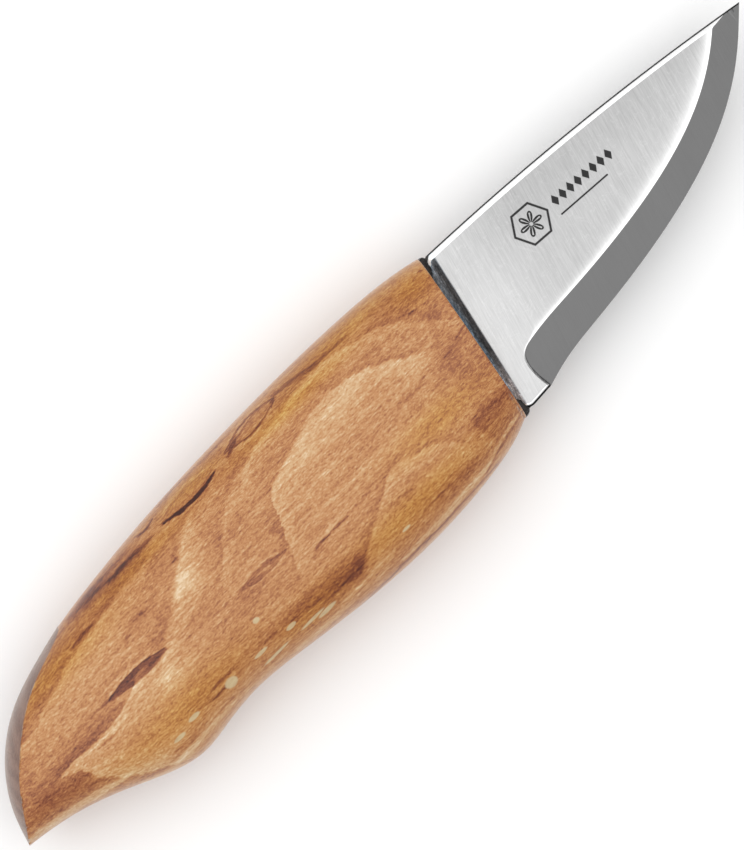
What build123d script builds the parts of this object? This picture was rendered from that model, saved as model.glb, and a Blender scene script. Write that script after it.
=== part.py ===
"""Chip carving knife: a short straight-backed blade with a stick tang, glued into a one-piece
wooden handle that ends in a bird's-beak butt.

The knife lies on its side. +X runs from the butt to the blade's tip, +Y points to the spine's
side and +Z is up, square to the blade's flats. The origin is on the resting plane, under the
middle of the bounding box. The shapes are drawn about the knife's middle plane, z = 0, and are
lifted to the resting plane when they are written. All sizes are in millimetres.
"""

import math
import os

from build123d import *

# Overall layout
overall_length = 165.0
tip = (overall_length / 2, 7.8)
beak = (-overall_length / 2 + 0.1, -6.4)

# Front face of the handle: a plane square to the flats, leaning back on the edge's side
front_x = 18.38
front_lean = 10.4
glue_line = 0.15

# Blade
blade_half_thickness = 1.25
distal_taper = 0.44
grind_angle = 10.8
edge_half_thickness = 0.03
spine_start = (24.6, 13.98)
spine_middle = (56.0, 11.58)
edge_points = [
    (21.9, -12.95),
    (25.5, -11.95),
    (34.0, -10.78),
    (49.0, -8.72),
    (61.0, -5.75),
    (70.0, -1.95),
    (77.0, 2.72),
    tip,
]
shoulder_top_y = 14.1
shoulder_bottom_y = -13.3
shoulder_radius = 1.6
chamfer_width = 1.05
chamfer_depth = 0.5
shoulder_bevel_point = (20.05, 0.0)
shoulder_bevel_lean = 12.8
shoulder_bevel_slope = 16.0

# Plunge, where the grind stops short of the handle and turns into the bevel's upper line
plunge_bottom = (21.85, -14.0)
plunge_middle = (21.42, -10.6)
plunge_top = (21.65, -8.0)
plunge_corner = (24.2, -5.9)

# Tang, hidden in the handle
tang_y = 0.8
tang_length = 75.0
tang_width_front = 11.0
tang_width_rear = 7.0
tang_thinning = 0.9
tang_overlap = 2.0
tang_notch_radius = 1.4
tang_notches = [(4.0, 1), (-12.0, -1), (-28.0, 1)]

# Mortise in the handle: a wide slot at the mouth and a narrower one beyond it
mortise_thickness = 4.4
mortise_steps = [(40.0, 13.2), (79.0, 10.4)]

# Adhesive: the film behind the shoulder and the beads at the shoulder's two corners
film_thinning = 0.8
bead_thinning = 0.86
bead_reach = 1.1 * shoulder_radius
bead_drop = 0.25
bead_tuck = (0.05, 0.12)

# Handle sections: x, spine side, edge side, half thickness
handle_sections = [
    (28.0, 12.4, -7.6, 7.6),
    (21.0, 14.65, -10.9, 8.5),
    (14.0, 15.95, -14.3, 9.5),
    (6.0, 16.6, -16.15, 10.45),
    (-6.0, 16.95, -17.0, 11.2),
    (-20.0, 16.8, -16.3, 11.4),
    (-32.0, 16.35, -14.8, 11.35),
    (-42.0, 15.6, -13.9, 11.1),
    (-48.0, 14.95, -14.45, 10.8),
    (-54.0, 14.15, -15.05, 10.3),
    (-60.0, 13.05, -13.45, 9.75),
    (-66.0, 11.7, -10.8, 9.1),
    (-73.0, 10.3, -8.25, 8.2),
    (-79.0, 9.2, -6.95, 7.1),
    (-84.0, 8.2, -6.3, 6.0),
]
section_power = 2.5
section_points = 28
front_edge_radius = 0.35

# Butt: a crowned surface that meets the handle's sides in an edge at the beak
butt_points = [
    (-44.0, 16.2),
    (-54.0, 14.35),
    (-62.0, 12.45),
    (-70.0, 9.62),
    (-76.4, 4.85),
    (-80.4, -0.85),
    beak,
    (-83.6, -10.4),
]
butt_crown_radius = 12.8
butt_waste = 16.0

# Cutting blocks: how far a swept cutter runs past the blade, its reach inside and outside the
# outline and its height, and half the size of the blocks that stand for a half space
cutter_lead = 3.0
spine_cutter_lead = 8.0
grind_cutter_size = (9.0, 1.5, 4.0)
spine_cutter_size = (3.15, 2.0, 4.0)
butt_cutter_reach = 0.97
mortise_lead = 6.0
far = 60.0


def front_plane(gap=0.0):
    """The handle's front face, or a plane in front of it by gap, with +Z towards the tip."""
    normal = Vector(math.cos(math.radians(front_lean)), -math.sin(math.radians(front_lean)), 0)
    origin = Vector(front_x, 0, 0) + normal * gap
    return Plane(origin, x_dir=(0, 0, 1), z_dir=normal)


def ahead_of(plane):
    """A large block that fills the space on a plane's +Z side."""
    return plane * Box(2 * far, 4 * far, 2 * far, align=(Align.CENTER, Align.CENTER, Align.MIN))


def front_face_x(y, gap=0.0):
    """Where a plane in front of the handle's front face crosses a height y."""
    lean = math.radians(front_lean)
    return front_x + y * math.tan(lean) + gap / math.cos(lean)


def blade_outline():
    """The blade's side profile, from the shoulder to the tip."""
    shoulder_top = (front_face_x(shoulder_top_y, glue_line), shoulder_top_y)
    shoulder_bottom = (front_face_x(shoulder_bottom_y, glue_line), shoulder_bottom_y)
    spine = ThreePointArc(spine_start, spine_middle, tip)
    edge = Spline(*edge_points)
    back = FilletPolyline(
        edge_points[0], shoulder_bottom, shoulder_top, spine_start, radius=shoulder_radius
    )
    return make_face(Wire([spine, edge, *back.edges()]))


def tang_outline():
    """The tang's side profile: tapered, with a round end and notches that key the glue."""
    rear = front_x - tang_length
    front = front_x + tang_overlap
    half_front = tang_width_front / 2
    half_rear = tang_width_rear / 2
    face = make_face(
        Polyline(
            (front, tang_y + half_front),
            (rear + half_rear, tang_y + half_rear),
            (rear + half_rear, tang_y - half_rear),
            (front, tang_y - half_front),
            close=True,
        )
    )
    face += Pos(rear + half_rear, tang_y) * Circle(half_rear)
    for x, side in tang_notches:
        share = (front - x) / (front - rear - half_rear)
        half = half_front + (half_rear - half_front) * share
        face -= Pos(x, tang_y + side * half) * Circle(tang_notch_radius)
    return face


def grind_cutter():
    """What the grind takes off one side: a wedge swept along the cutting edge."""
    edge = Spline(*edge_points)
    lead_in = Line(Vector(edge_points[0]) - edge.tangent_at(0) * cutter_lead, edge_points[0])
    lead_out = Line(tip, Vector(tip) + edge.tangent_at(1) * cutter_lead)
    path = Wire([lead_in, edge, lead_out])
    slope = math.tan(math.radians(grind_angle))
    inside, outside, above = grind_cutter_size
    section = Polyline(
        (-outside, edge_half_thickness - outside * slope),
        (inside, edge_half_thickness + inside * slope),
        (inside, above),
        (-outside, above),
        close=True,
    )
    start = path.position_at(0)
    tangent = path.tangent_at(0)
    across = Vector(0, 0, 1).cross(tangent)
    section_plane = Plane(start, x_dir=across, z_dir=across.cross(Vector(0, 0, 1)))
    return sweep(section_plane * make_face(section), path=path)


def grind_window():
    """The part of the blade that the grind may reach, in front of the plunge."""
    plunge = ThreePointArc(plunge_bottom, plunge_middle, plunge_top)
    corner = TangentArc(plunge_top, plunge_corner, tangent=plunge.tangent_at(1))
    rest = Polyline(
        plunge_corner, (plunge_corner[0], far / 2), (far * 2, far / 2), (far * 2, -far / 2), plunge_bottom
    )
    face = make_face(Wire([plunge, corner, *rest.edges()]))
    return extrude(face, amount=far / 2)


def blade_blank():
    """The blade with its flats, its distal taper and its spine's chamfers, but no grind."""
    blank = extrude(blade_outline(), amount=blade_half_thickness, both=True)
    for side in (1, -1):
        slope_plane = Plane(
            (front_x, 0, side * blade_half_thickness),
            x_dir=(0, 1, 0),
            z_dir=(math.sin(math.radians(distal_taper)), 0, side * math.cos(math.radians(distal_taper))),
        )
        blank -= ahead_of(slope_plane)
        bevel_lean = math.radians(shoulder_bevel_lean)
        bevel_slope = math.radians(shoulder_bevel_slope)
        ahead = shoulder_bevel_point[0] - front_x
        flat_z = blade_half_thickness - ahead * math.tan(math.radians(distal_taper))
        backwards = Vector(-math.cos(bevel_lean), math.sin(bevel_lean), 0)
        bevel_normal = backwards * math.sin(bevel_slope) + Vector(0, 0, side * math.cos(bevel_slope))
        bevel_plane = Plane(
            (*shoulder_bevel_point, side * flat_z),
            x_dir=Vector(0, 0, 1).cross(backwards),
            z_dir=bevel_normal,
        )
        blank -= ahead_of(bevel_plane)
    return blank


def spine_cutter():
    """What the spine's chamfer takes off one side."""
    spine = ThreePointArc(spine_start, spine_middle, tip)
    lead_in = Line(Vector(spine_start) - spine.tangent_at(0) * spine_cutter_lead, spine_start)
    lead_out = Line(tip, Vector(tip) + spine.tangent_at(1) * cutter_lead)
    path = Wire([lead_in, spine, lead_out])
    slope = chamfer_depth / chamfer_width
    inner, outer, above = spine_cutter_size
    edge_z = blade_half_thickness - chamfer_depth
    section = Polyline(
        (-outer, edge_z - outer * slope),
        (inner, edge_z + inner * slope),
        (inner, above),
        (-outer, above),
        close=True,
    )
    across = path.tangent_at(0).cross(Vector(0, 0, 1))
    section_plane = Plane(path.position_at(0), x_dir=across, z_dir=across.cross(Vector(0, 0, 1)))
    return sweep(section_plane * make_face(section), path=path)


def make_blade():
    blank = blade_blank()
    grind = grind_cutter() & grind_window()
    spine = spine_cutter()
    for cutter in (grind, spine):
        blank -= cutter
        blank -= mirror(cutter, about=Plane.XY)
    tang = extrude(tang_outline(), amount=blade_half_thickness * tang_thinning, both=True)
    return blank + tang


def handle_section(x, top, bottom, half_thickness):
    """A closed curve across the handle: an oval with flattened sides, at one place along X."""
    middle, half_height = (top + bottom) / 2, (top - bottom) / 2
    points = []
    for step in range(section_points):
        angle = 2 * math.pi * (step + 0.5) / section_points
        c, s = math.cos(angle), math.sin(angle)
        y = math.copysign(abs(s) ** (2 / section_power), s) * half_height + middle
        z = math.copysign(abs(c) ** (2 / section_power), c) * half_thickness
        points.append((x, y, z))
    return make_face(Spline(*points, periodic=True))


def butt_cutter():
    """What lies outside the crowned butt: swept round the handle's end, past the beak."""
    path = Wire([Spline(*butt_points)])
    tangent = path.tangent_at(0)
    outwards = Vector(0, 0, 1).cross(tangent) * -1
    radius, reach = butt_crown_radius, butt_crown_radius * butt_cutter_reach
    drop = radius - math.sqrt(radius**2 - reach**2)
    crown = ThreePointArc((-drop, -reach), (0, 0), (-drop, reach))
    outside = Polyline((-drop, reach), (butt_waste, reach), (butt_waste, -reach), (-drop, -reach))
    section = make_face(Wire([crown, *outside.edges()]))
    plane = Plane(path.position_at(0), x_dir=outwards, z_dir=outwards.cross(Vector(0, 0, 1)))
    return sweep(plane * section, path=path)


def make_mortise():
    """The slot in the handle's front that takes the tang."""
    slot = None
    for depth, height in mortise_steps:
        rear = front_x - depth
        front = front_x + mortise_lead
        profile = SlotOverall(height, mortise_thickness)
        plane = Plane((rear, tang_y, 0), x_dir=(0, 1, 0), z_dir=(1, 0, 0))
        step = extrude(plane * profile, amount=front - rear)
        slot = step if slot is None else slot + step
    return slot


def make_handle():
    """The wooden handle, with its mortise."""
    body = loft([handle_section(*row) for row in handle_sections])
    body -= butt_cutter()
    body -= ahead_of(front_plane())
    rim = body.faces().filter_by(lambda f: f.normal_at().X > 0.9).sort_by(Axis.X)[-1].edges()
    body = fillet(rim, front_edge_radius)
    return body - make_mortise()


def glue_beads():
    """Glue squeezed out into the hollows beside the blade's two rounded shoulder corners."""
    beads = []
    for y, side in ((shoulder_top_y, 1), (shoulder_bottom_y, -1)):
        corner = Vector(front_face_x(y), y)
        inner_y = y - side * bead_reach
        inner = Vector(front_face_x(inner_y), inner_y)
        ahead = corner + Vector(bead_reach - bead_drop, -side * bead_drop)
        tucked = corner + Vector(bead_tuck[0], -side * bead_tuck[1])
        outline = make_face(Polyline(tucked, ahead, inner, close=True))
        beads.append(extrude(outline, amount=blade_half_thickness * bead_thinning, both=True))
    return beads


def make_adhesive(blade):
    """The cured adhesive: it fills the mortise round the tang, the thin gap behind the blade's
    shoulder and the hollows at the shoulder's corners."""
    fill = make_mortise() - ahead_of(front_plane())
    film = extrude(blade_outline(), amount=blade_half_thickness * film_thinning, both=True)
    film = Pos(-1.5 * glue_line, 0, 0) * film - ahead_of(front_plane(glue_line))
    film = film & ahead_of(front_plane())
    adhesive = fill + film
    for bead in glue_beads():
        adhesive += bead
    return adhesive - blade


def main():
    blade = make_blade()
    parts = {"blade": blade, "handle": make_handle(), "adhesive": make_adhesive(blade)}
    rest_height = -parts["handle"].bounding_box().min.Z
    os.makedirs("parts", exist_ok=True)
    for name, shape in parts.items():
        placed = Pos(0, 0, rest_height) * shape
        export_step(placed, f"parts/{name}.step")
        box = placed.bounding_box()
        print(f"{name}: {len(placed.solids())} solid, {placed.volume:.0f} mm3, {box.min} to {box.max}")
    print(f"middle plane {rest_height:.3f} above the resting plane")


if __name__ == "__main__":
    main()
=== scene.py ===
import math
import bpy
import numpy as np
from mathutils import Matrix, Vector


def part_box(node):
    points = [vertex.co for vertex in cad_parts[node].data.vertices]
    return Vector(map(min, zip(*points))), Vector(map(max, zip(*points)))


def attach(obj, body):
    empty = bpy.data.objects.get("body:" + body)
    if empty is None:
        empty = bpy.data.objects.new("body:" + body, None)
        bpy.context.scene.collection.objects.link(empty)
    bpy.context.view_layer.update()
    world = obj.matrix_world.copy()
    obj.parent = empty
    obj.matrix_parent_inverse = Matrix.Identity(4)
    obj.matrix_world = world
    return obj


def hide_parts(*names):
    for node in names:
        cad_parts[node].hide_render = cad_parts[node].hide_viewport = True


# Chip carving knife. Shapes are worked out in millimetres about the knife's middle plane, z = 0,
# and are scaled to metres and lifted to the resting height when they become meshes.

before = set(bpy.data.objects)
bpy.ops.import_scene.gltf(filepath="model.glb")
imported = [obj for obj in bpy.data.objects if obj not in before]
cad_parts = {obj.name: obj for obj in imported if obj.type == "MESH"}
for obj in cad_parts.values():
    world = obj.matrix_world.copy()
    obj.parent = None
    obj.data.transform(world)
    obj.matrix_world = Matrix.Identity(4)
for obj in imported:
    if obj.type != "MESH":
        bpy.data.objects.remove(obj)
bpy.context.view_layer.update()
mm = 0.001
weldReach = 2e-5  # mm: points that round to the same multiple of this become one
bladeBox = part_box("blade")
midHeight = (bladeBox[0].z + bladeBox[1].z) / 2 / mm
scene = bpy.context.scene
print("frame loaded, middle plane at", round(midHeight, 3), "mm")


# curves and meshes from numpy arrays

def splineThrough(knots, values, at):
    # natural cubic spline: between two knots a cubic whose second derivatives solve one linear system
    knots, values = np.asarray(knots, float), np.asarray(values, float)
    gap, count = np.diff(knots), len(knots)
    rows = np.arange(1, count - 1)
    system, right = np.eye(count), np.zeros(values.shape)
    system[rows, rows - 1], system[rows, rows + 1] = gap[:-1], gap[1:]
    system[rows, rows] = 2 * (gap[:-1] + gap[1:])
    slope = np.diff(values, axis=0) / gap.reshape(-1, *[1] * (values.ndim - 1))
    right[1:-1] = 6 * np.diff(slope, axis=0)
    bend = np.linalg.solve(system, right)
    at = np.asarray(at, float)
    k = np.clip(np.searchsorted(knots, at) - 1, 0, count - 2)
    widen = (slice(None),) * at.ndim + (None,) * (values.ndim - 1)
    h, before, after = gap[k][widen], (at - knots[k])[widen], (knots[k + 1] - at)[widen]
    return ((bend[k] * after**3 + bend[k + 1] * before**3) / (6 * h)
            + (values[k] / h - bend[k] * h / 6) * after
            + (values[k + 1] / h - bend[k + 1] * h / 6) * before)


def pathThrough(points, count):
    # smooth plane curve through a few points: each coordinate is a spline over the chord length
    points = np.asarray(points, float)
    chord = np.concatenate([[0], np.cumsum(np.hypot(*np.diff(points, axis=0).T))])
    return splineThrough(chord, points, np.linspace(0, chord[-1], count))


def fromPath(path, x, y):
    # signed distance of each point from a dense path, positive on its left, and where along it (0 to 1)
    tangent = np.gradient(path, axis=0)
    tangent /= np.linalg.norm(tangent, axis=1, keepdims=True)
    away = np.stack([x, y], -1)[..., None, :] - path
    near = np.argmin((away**2).sum(-1), -1)
    rest = np.take_along_axis(away, near[..., None, None], -2)[..., 0, :]
    t = tangent[near]
    spacing = np.linalg.norm(np.diff(path, axis=0), axis=1).mean()
    share = (near + (rest * t).sum(-1) / spacing) / (len(path) - 1)
    return t[..., 0] * rest[..., 1] - t[..., 1] * rest[..., 0], share


def gridFaces(rows, columns, closed, start):
    # quads of a grid of points counted row by row; closed joins the last column to the first
    r, c = np.meshgrid(np.arange(rows - 1), np.arange(columns if closed else columns - 1), indexing="ij")
    after = (c + 1) % columns
    here, below = r * columns, (r + 1) * columns
    quads = np.stack([here + c, here + after, below + after, below + c], -1)
    return quads.reshape(-1, 4) + start


def makePiece(name, grids, attributes=None, sharp=None):
    # one mesh from several grids of points (mm about the middle plane), welded where they meet
    points, faces, start = [], [], 0
    for grid, closed in grids:
        rows, columns = grid.shape[:2]
        points.append(grid.reshape(-1, 3))
        faces.append(gridFaces(rows, columns, closed, start))
        start += rows * columns
    points, faces = np.concatenate(points), np.concatenate(faces)
    keys = np.round(points / weldReach).astype(np.int64)
    _, first, back = np.unique(keys, axis=0, return_index=True, return_inverse=True)
    back = back.reshape(-1)
    faces = back[faces]
    following = np.roll(faces, -1, axis=1)
    # a quad whose neighbouring corners were welded loses them, and is left out below three corners
    corners = [face[face != nxt] for face, nxt in zip(faces, following)]
    corners = [c.tolist() for c in corners if len(set(c.tolist())) == len(c) > 2]
    placed = (points[first] + (0, 0, midHeight)) * mm
    mesh = bpy.data.meshes.new(name)
    mesh.from_pydata(placed, [], corners)
    for label, values in (attributes or {}).items():
        layer = mesh.attributes.new(label, "FLOAT", "POINT")
        layer.data.foreach_set("value", values.reshape(-1)[first].astype(np.float32))
    mesh.validate()
    mesh.shade_smooth()
    if sharp:
        mesh.set_sharp_from_angle(angle=math.radians(sharp))
    piece = bpy.data.objects.new(name, mesh)
    scene.collection.objects.link(piece)
    return piece


def smoothMin(a, b, reach):
    # the lower of two heights, with their crossing rounded over a height of reach
    return np.minimum(a, b) - np.maximum(reach - np.abs(a - b), 0) ** 2 / (4 * reach)


def easeIn(value, low, high):
    # 0 below low, 1 above high, smooth between
    t = np.clip((value - low) / (high - low), 0, 1)
    return t * t * (3 - 2 * t)


handle = {
    "sections": [  # x, spine side, edge side, half thickness
        (28.0, 12.4, -7.6, 7.6), (21.0, 14.65, -10.9, 8.5), (14.0, 15.95, -14.3, 9.5),
        (6.0, 16.6, -16.15, 10.45), (-6.0, 16.95, -17.0, 11.2), (-20.0, 16.8, -16.3, 11.4),
        (-32.0, 16.35, -14.8, 11.35), (-42.0, 15.6, -13.9, 11.1), (-48.0, 14.95, -14.45, 10.8),
        (-54.0, 14.15, -15.05, 10.3), (-60.0, 13.05, -13.45, 9.75), (-66.0, 11.7, -10.8, 9.1),
        (-73.0, 10.3, -8.25, 8.2), (-79.0, 9.2, -6.95, 7.1), (-84.0, 8.2, -6.3, 6.0),
    ],
    "squareness": 2.5,
    "buttLine": [(-44.0, 16.2), (-54.0, 14.35), (-62.0, 12.45), (-70.0, 9.62), (-76.4, 4.85),
                 (-80.4, -0.85), (-82.4, -6.4), (-83.6, -10.4)],
    "buttCrown": 12.8,
    "frontX": 18.38,
    "frontLean": math.radians(10.4),
    "rimRadius": 0.35,
    "mouth": {"height": 13.2, "thickness": 4.4, "y": 0.8, "wideDepths": (20.0, 40.0),
              "rearHeight": 10.4, "rearDepths": (40.0, 60.0, 79.0)},
    "around": 192,
    "along": 210,
    "rimRows": 9,
    "buttPoints": 260,
    "buttRows": 41,
    "buttSearch": (-44.0, -84.0, 320),  # x from and to, and steps, where the side meets the butt
    "creaseBevel": 0.32,
}
frontNormal = np.array([math.cos(handle["frontLean"]), -math.sin(handle["frontLean"]), 0.0])


def rounded(angle, power):
    # cosine and sine of an oval with flattened sides: each raised to 2 / power, keeping its sign
    c, s = np.cos(angle), np.sin(angle)
    c, s = np.where(np.abs(c) < 1e-9, 0, c), np.where(np.abs(s) < 1e-9, 0, s)
    return np.sign(c) * np.abs(c) ** (2 / power), np.sign(s) * np.abs(s) ** (2 / power)


def handleSide(x, angle):
    # point on the handle's side: an oval at x, angle 0 at the top of the lying knife, +90 at the spine
    rows = np.array(handle["sections"])[::-1]
    spineSide, edgeSide, half = np.moveaxis(splineThrough(rows[:, 0], rows[:, 1:], x), -1, 0)
    c, s = rounded(angle, handle["squareness"])
    return np.stack([x, (spineSide + edgeSide) / 2 + s * (spineSide - edgeSide) / 2, c * half], -1)


def crownDrop(z):
    # how far the butt's crowned surface falls behind its middle line: a circle's sagitta
    return handle["buttCrown"] - np.sqrt(handle["buttCrown"] ** 2 - z**2)


def frontX(angle, gap):
    # where each line along the side meets a plane that lies gap behind the front face
    x = np.full(angle.shape, handle["frontX"])
    for _ in range(12):
        y = handleSide(x, angle)[..., 1]
        x = handle["frontX"] + y * math.tan(handle["frontLean"]) - gap / math.cos(handle["frontLean"])
    return x


def slotLoop(angle, height, thickness, y, depth):
    # a slot with round ends, depth behind the front face; the fixed numbers share the side's angles
    # out between the slot's straight sides and its ends
    straight, r = height / 2 - thickness / 2, thickness / 2
    c, s = np.cos(angle), np.sin(angle)
    end = np.sign(s) * np.clip(np.abs(s) * 1.6 - 0.35, 0, 1)
    turn = np.where(np.abs(end) < 1, np.sign(c) * 1.0, c / np.maximum(np.abs(c) + 0.35, 1e-9) * 1.35)
    z = r * np.clip(turn, -1, 1)
    across = straight * np.clip(end, -1, 1) + np.sign(s) * np.sqrt(np.maximum(r**2 - z**2, 0))
    lean = handle["frontLean"]
    yy = y + across
    return np.stack([handle["frontX"] + yy * math.tan(lean) - depth, yy, z], -1)


def makeHandle():
    # side: ovals carried from the butt's crease to the front rim; butt: rows across the crown
    half = handle["around"] // 2
    angle = np.linspace(-math.pi / 2, 1.5 * math.pi, handle["around"], endpoint=False)
    line = pathThrough(handle["buttLine"], handle["buttPoints"])
    top = angle[: half + 1]
    reach = np.linspace(*handle["buttSearch"])
    trial = handleSide(reach[:, None] + 0 * top, top + 0 * reach[:, None])
    offset = np.stack([fromPath(line, row[:, 0], row[:, 1])[0] for row in trial])
    depth = offset - crownDrop(trial[..., 2])
    hit = np.argmax(depth < 0, axis=0)
    column = np.arange(half + 1)
    share = depth[hit - 1, column] / (depth[hit - 1, column] - depth[hit, column])
    creaseX = reach[hit - 1] + share * (reach[hit] - reach[hit - 1])
    creaseX = np.concatenate([creaseX, creaseX[1:-1][::-1]])
    lastX = frontX(angle, handle["rimRadius"])
    t = np.linspace(0, 1, handle["along"])[:, None]
    side = handleSide(creaseX + (lastX - creaseX) * t, angle + 0 * t)
    # front rim: a quarter circle from the side into the front face
    ring = side[-1]
    aroundRing = np.roll(ring, -1, 0) - np.roll(ring, 1, 0)
    outward = np.cross(frontNormal, aroundRing)
    outward /= np.linalg.norm(outward, axis=1, keepdims=True)
    turn = np.linspace(0, math.pi / 2, handle["rimRows"])[1:, None, None]
    r = handle["rimRadius"]
    rim = ring + frontNormal * r * np.sin(turn) - outward * r * (1 - np.cos(turn))
    mouth = handle["mouth"]
    thickness, centre = mouth["thickness"], mouth["y"]
    mouthLoop = slotLoop(angle, mouth["height"], thickness, centre, 0.0)
    blendIn = np.linspace(0, 1, handle["rimRows"])[1:, None, None]
    face = rim[-1] + (mouthLoop - rim[-1]) * blendIn
    walls = [slotLoop(angle, mouth["height"], thickness, centre, d) for d in mouth["wideDepths"]]
    walls += [slotLoop(angle, mouth["rearHeight"], thickness, centre, d) for d in mouth["rearDepths"]]
    closing = walls[-1].copy()
    closing[:, 2] = 0
    shell = np.concatenate([side, rim, face, np.stack(walls), closing[None]])
    # butt: between each crease point and its mirror below, at one place along the butt's line
    crease = side[0][: half + 1]
    _, place = fromPath(line, crease[:, 0], crease[:, 1])
    position = np.clip(place, 0, 1) * (len(line) - 1)
    index = np.clip(position.astype(int), 0, len(line) - 2)
    part = (position - index)[:, None]
    middle = line[index] * (1 - part) + line[index + 1] * part
    tangent = np.gradient(line, axis=0)[index]
    tangent /= np.linalg.norm(tangent, axis=1, keepdims=True)
    inward = np.stack([-tangent[:, 1], tangent[:, 0]], -1)
    across = np.sin(np.linspace(-math.pi / 2, math.pi / 2, handle["buttRows"]))[:, None]
    z = across * crease[:, 2]
    butt = np.concatenate([middle + inward * crownDrop(z)[..., None], z[..., None]], -1)
    butt[0], butt[-1] = crease * (1, 1, -1), crease
    butt[:, 0], butt[:, -1] = crease[0], crease[-1]
    endGrain = np.concatenate([np.zeros(shell.shape[:2]).ravel(), np.ones(butt.shape[:2]).ravel()])
    return makePiece("handle_wood", [(shell, True), (butt, False)], {"endGrain": endGrain})


handlePiece = makeHandle()
print("handle:", len(handlePiece.data.polygons), "faces")


blade = {
    "halfThickness": 1.25,
    "taper": math.tan(math.radians(0.44)),
    "grind": math.tan(math.radians(10.8)),
    "edgeHalf": 0.03,
    "tip": (82.5, 7.8),
    "spine": [(24.6, 13.98), (56.0, 11.58), (82.5, 7.8)],
    "edge": [(21.9, -12.95), (25.5, -11.95), (34.0, -10.78), (49.0, -8.72), (61.0, -5.75),
             (70.0, -1.95), (77.0, 2.72), (82.5, 7.8)],
    "shoulderTop": 14.1,
    "shoulderBottom": -13.3,
    "shoulderRadius": 1.6,
    "glueLine": 0.15,
    "chamferRise": 0.5 / 1.05,
    "chamferDepth": (0.5, 0.40),  # at the shoulder and at the tip
    "shoulderLine": (20.05, math.radians(12.8)),
    "shoulderSlope": math.tan(math.radians(16.0)),
    "plunge": [(21.85, -14.0), (21.55, -11.8), (21.42, -10.2), (21.55, -8.4), (22.0, -7.2),
               (22.9, -6.35), (24.2, -5.9), (26.0, -5.25)],
    "plungeEnd": (40.0, 30.0),  # the plunge's line runs on straight to here, well off the blade
    "plungeWall": 0.12,
    "plungeCrispness": 4.0,
    "corner": 0.3,
    "soft": {"chamfer": 0.05, "shoulder": 0.04, "grind": 0.024},  # rounding where faces meet
    "lowArc": (40, 22),  # points round the lower corner, and the first that counts as the edge
    "highArc": (24, 9),  # the same at the spine's corner
    "followBevelFrom": 24.5,
    "bevelRows": 25,
    "flatRows": 45,
    "chamferRows": 13,
    "spineRows": 5,
    "tang": {"y": 0.8, "rear": -56.62, "front": 11.0, "back": 7.0, "half": 1.125,
             "notches": [(4.0, 1), (-12.0, -1), (-28.0, 1)], "notch": 1.4, "leanIn": 8.0},
}


def arcThrough(a, b, c, count):
    # circle through three points, from a to c by way of b
    (ax, ay), (bx, by), (cx, cy) = a, b, c
    d = 2 * (ax * (by - cy) + bx * (cy - ay) + cx * (ay - by))
    ux = ((ax**2 + ay**2) * (by - cy) + (bx**2 + by**2) * (cy - ay) + (cx**2 + cy**2) * (ay - by)) / d
    uy = ((ax**2 + ay**2) * (cx - bx) + (bx**2 + by**2) * (ax - cx) + (cx**2 + cy**2) * (bx - ax)) / d
    r = math.hypot(ax - ux, ay - uy)
    start, end = math.atan2(ay - uy, ax - ux), math.atan2(cy - uy, cx - ux)
    turn = np.linspace(start, end, count)
    return np.stack([ux + r * np.cos(turn), uy + r * np.sin(turn)], -1)


def cornerArc(before, corner, after, radius, count):
    # an arc of that radius, tangent to the two lines that meet at corner
    before, corner, after = (np.array(p, float) for p in (before, corner, after))
    a, b = before - corner, after - corner
    a, b = a / np.linalg.norm(a), b / np.linalg.norm(b)
    halfAngle = math.acos(np.clip(a @ b, -1, 1)) / 2
    bisector = (a + b) / np.linalg.norm(a + b)
    centre = corner + bisector * radius / math.sin(halfAngle)
    first, last = corner + a * radius / math.tan(halfAngle), corner + b * radius / math.tan(halfAngle)
    t = np.linspace(0, 1, count)[:, None]
    ray = (first - centre) * (1 - t) + (last - centre) * t
    return centre + ray / np.linalg.norm(ray, axis=1, keepdims=True) * radius


def bladeOutlines():
    # lower outline: shoulder corner, ricasso, cutting edge; upper outline: shoulder corner, spine
    lean = math.tan(handle["frontLean"])
    behind = handle["frontX"] + blade["glueLine"] / math.cos(handle["frontLean"])
    topCorner = (behind + blade["shoulderTop"] * lean, blade["shoulderTop"])
    lowCorner = (behind + blade["shoulderBottom"] * lean, blade["shoulderBottom"])
    r = blade["shoulderRadius"]
    low = cornerArc(topCorner, lowCorner, blade["edge"][0], r, blade["lowArc"][0])
    high = cornerArc(lowCorner, topCorner, blade["spine"][0], r, blade["highArc"][0])
    edge = pathThrough(blade["edge"], 220)
    spine = arcThrough(*blade["spine"], 160)
    return np.concatenate([low, edge]), np.concatenate([high, spine]), edge


def along(path, x):
    # the points of an outline at given x: outlines here only ever run forwards in x
    keep = np.concatenate([[True], np.diff(path[:, 0]) > 1e-6])
    path = path[keep]
    return np.stack([x, np.interp(x, path[:, 0], path[:, 1])], -1)


def stationSteps():
    # how far along the blade each station lies, 0 at the shoulder to 1 at the tip: close at the
    # shoulder's corners and the plunge, wider over the blade, close again at the tip
    spacing = [(0.0, 0), (0.012, 14), (0.03, 12), (0.072, 20), (0.125, 56), (0.9, 110), (0.985, 26),
               (1.0, 10)]
    steps = [np.zeros(1)]
    for (a, _), (b, count) in zip(spacing, spacing[1:]):
        steps.append(np.linspace(a, b, count + 1)[1:])
    steps = np.concatenate(steps)
    first = spacing[1][0]
    steps[steps < first] = first * (steps[steps < first] / first) ** 2
    return steps


def plungeLine():
    # the curve where the grind stops, carried on straight past the blade's spine
    line = pathThrough(blade["plunge"], 90)
    onward = np.linspace(0, 1, 40)[1:, None] * (blade["plungeEnd"] - line[-1])
    return np.concatenate([line, line[-1] + onward])


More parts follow.
